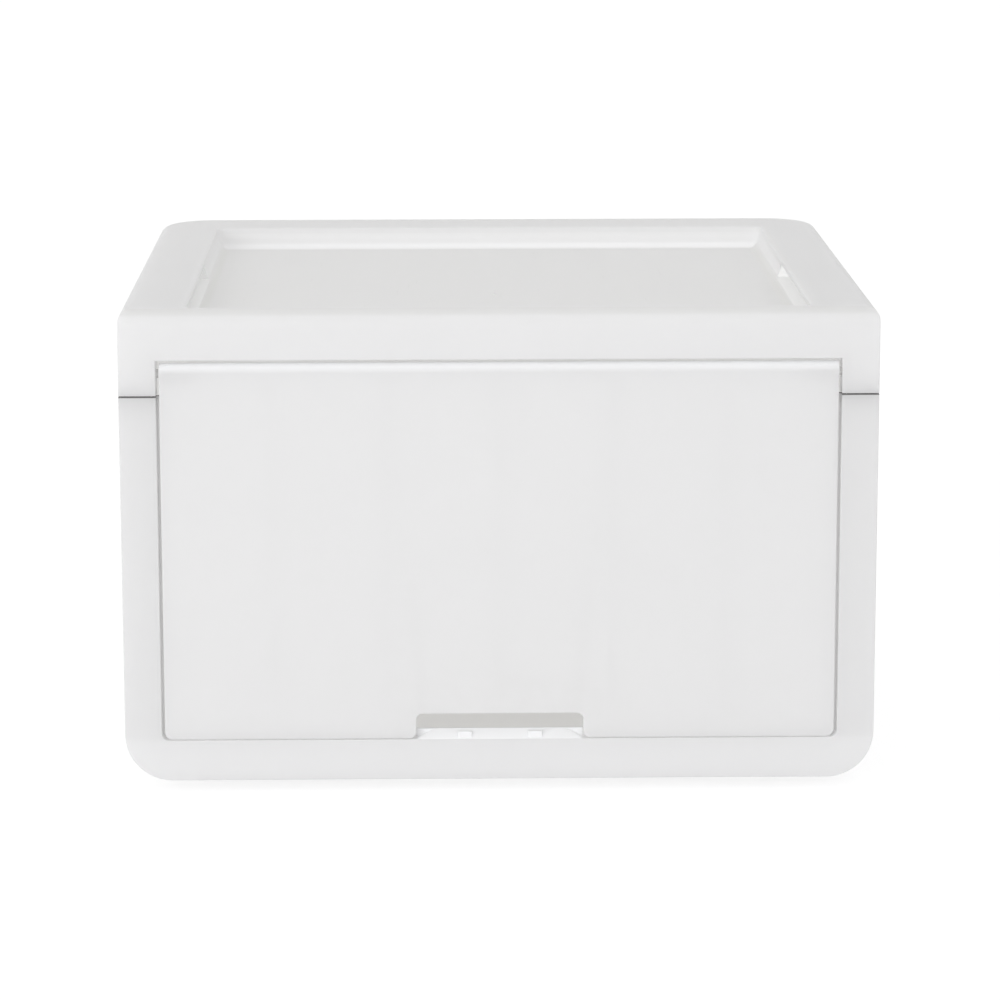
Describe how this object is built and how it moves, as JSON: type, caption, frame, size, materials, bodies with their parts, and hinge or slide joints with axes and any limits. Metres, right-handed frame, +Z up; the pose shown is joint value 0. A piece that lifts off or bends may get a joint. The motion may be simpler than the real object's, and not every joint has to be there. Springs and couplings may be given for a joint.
{
  "type": "front-opening storage box",
  "caption": "Stackable plastic storage box with a top-hinged lift-up front flap, finger notch and sunk roof tray.",
  "frame": {"origin": "under the middle of the box, on the plane that the base plateau stands on", "axes": "+Z up, X across the front, -Y towards the user in front of the flap"},
  "size_m": [0.4, 0.38, 0.26],
  "materials": {
    "white_plastic": "fine matte moulded grain",
    "flap_plastic": "fine matte moulded grain",
    "pin_plastic": "smooth moulded"
  },
  "bodies": {
    "box": {"body_tub": "white_plastic", "top_cover": "white_plastic"},
    "flap": {"front_flap": "flap_plastic", "hinge_pin_left": "pin_plastic", "hinge_pin_right": "pin_plastic"}
  },
  "joints": [
    {"name": "flap_hinge", "type": "hinge", "parent": "box", "child": "flap", "pos_m": [0, -0.1845, 0.22575], "axis": [-1, 0, 0], "range_deg": [0, 100]}
  ]
}
